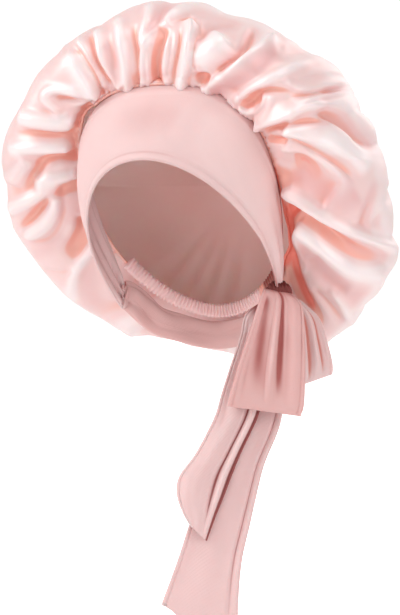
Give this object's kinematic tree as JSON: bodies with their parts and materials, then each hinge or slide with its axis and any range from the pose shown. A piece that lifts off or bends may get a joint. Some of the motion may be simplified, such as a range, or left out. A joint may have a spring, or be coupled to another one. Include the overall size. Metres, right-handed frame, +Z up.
{
  "type": "sleep bonnet",
  "caption": "Puffed satin sleep bonnet gathered on to a wide stretch headband, tied in a bow with hanging tails below one ear.",
  "frame": {"origin": "middle of the hollow that the head fills, level with the temples, where the bonnet sits on a head", "axes": "+Z up the head, -Y out of the face opening, +X towards the wearer's left, where the bow hangs"},
  "size_m": [0.3531, 0.2307, 0.5617],
  "materials": {
    "crown": "glossy satin",
    "headband": "matte jersey",
    "nape_casing": "glossy satin",
    "nape_tie": "matte jersey",
    "knot": "matte jersey",
    "front_loop": "matte jersey",
    "rear_loop": "matte jersey",
    "upper_tail": "matte jersey",
    "lower_tail": "matte jersey"
  },
  "bodies": {
    "root": {"crown": "crown", "headband": "headband", "nape_casing": "nape_casing", "nape_tie": "nape_tie", "knot": "knot", "front_loop": "front_loop", "rear_loop": "rear_loop", "upper_tail": "upper_tail", "lower_tail": "lower_tail"}
  },
  "joints": []
}
